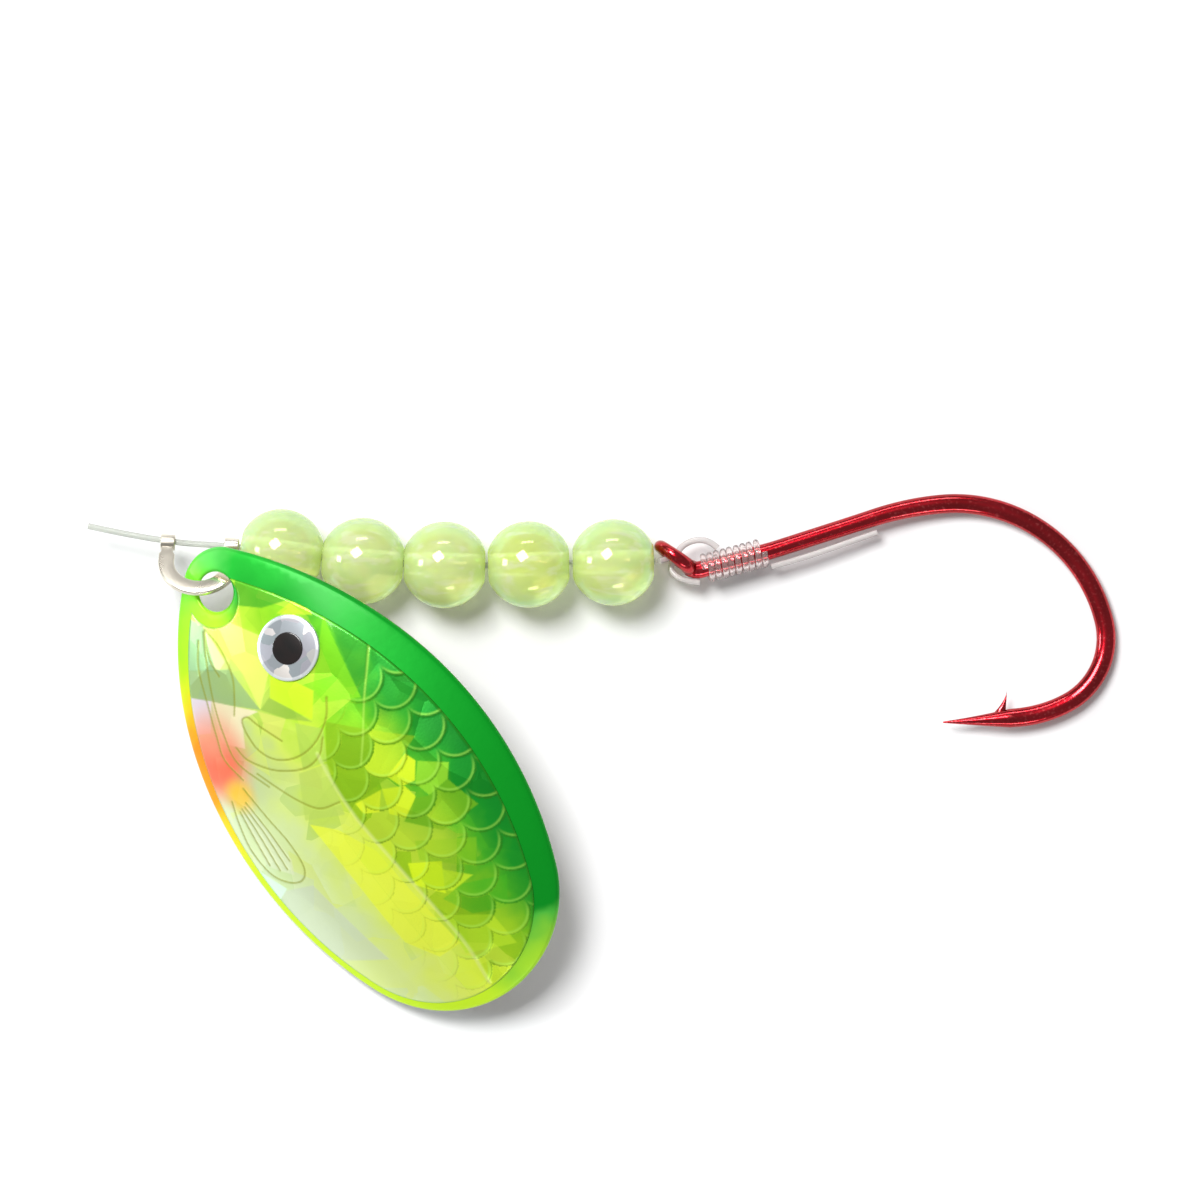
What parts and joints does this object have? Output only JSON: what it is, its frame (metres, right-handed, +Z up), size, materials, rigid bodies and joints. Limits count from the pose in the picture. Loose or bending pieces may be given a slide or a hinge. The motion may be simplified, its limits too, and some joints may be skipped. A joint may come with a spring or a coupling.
{
  "type": "fishing spinner rig",
  "caption": "Fishing spinner rig lying flat: clear line with a clevis-hung cupped blade, a row of round beads and a snelled single hook.",
  "frame": {"origin": "on the resting surface, under the middle of the rig without its free leader", "axes": "+Z up from the surface the rig lies on; +X along the line from the clevis towards the hook"},
  "size_m": [0.0709, 0.0357, 0.0086],
  "materials": {
    "line": "clear",
    "nickel": "polished nickel",
    "paint": "glossy lacquer",
    "foil": "holographic foil",
    "silver": "holographic silver",
    "black": "glossy",
    "bead": "translucent with a pearly coat",
    "red_hook": "candy red metallic"
  },
  "bodies": {
    "hook": {"hook": "red_hook", "snell_wraps": "line", "bait_loop": "line", "eye_strand": "line", "tag_end": "line"},
    "line": {"leader": "line"},
    "clevis": {"clevis": "nickel"},
    "blade": {"blade": "paint", "foil": "foil", "eye": "silver", "pupil": "black"},
    "bead_1": {"bead_1": "bead"},
    "bead_2": {"bead_2": "bead"},
    "bead_3": {"bead_3": "bead"},
    "bead_4": {"bead_4": "bead"},
    "bead_5": {"bead_5": "bead"}
  },
  "joints": [
    {"name": "line_swing", "type": "hinge", "parent": "hook", "child": "line", "pos_m": [0.00147, 0.01328, 0.003], "axis": [0, 0, 1], "range_deg": [-5, 40]},
    {"name": "clevis_spin", "type": "hinge", "parent": "line", "child": "clevis", "pos_m": [-0.03019, 0.01447, 0.00299], "axis": [0.9982, -0.059, 0.0036], "continuous": true},
    {"name": "blade_swing", "type": "hinge", "parent": "clevis", "child": "blade", "pos_m": [-0.03027, 0.01317, 0.00401], "axis": [-0.0335, -0.6147, -0.7881], "range_deg": [0, 80]},
    {"name": "bead_1_spin", "type": "hinge", "parent": "line", "child": "bead_1", "pos_m": [-0.02457, 0.01391, 0.003], "axis": [0.9906, -0.1365, 0], "continuous": true},
    {"name": "bead_2_spin", "type": "hinge", "parent": "line", "child": "bead_2", "pos_m": [-0.01895, 0.01331, 0.003], "axis": [0.9972, -0.0751, 0], "continuous": true},
    {"name": "bead_3_spin", "type": "hinge", "parent": "line", "child": "bead_3", "pos_m": [-0.01331, 0.01304, 0.003], "axis": [0.9998, -0.021, 0], "continuous": true},
    {"name": "bead_4_spin", "type": "hinge", "parent": "line", "child": "bead_4", "pos_m": [-0.00751, 0.01307, 0.003], "axis": [0.9995, 0.0306, 0], "continuous": true},
    {"name": "bead_5_spin", "type": "hinge", "parent": "line", "child": "bead_5", "pos_m": [-0.00167, 0.01321, 0.003], "axis": [0.9998, 0.019, 0], "continuous": true}
  ]
}
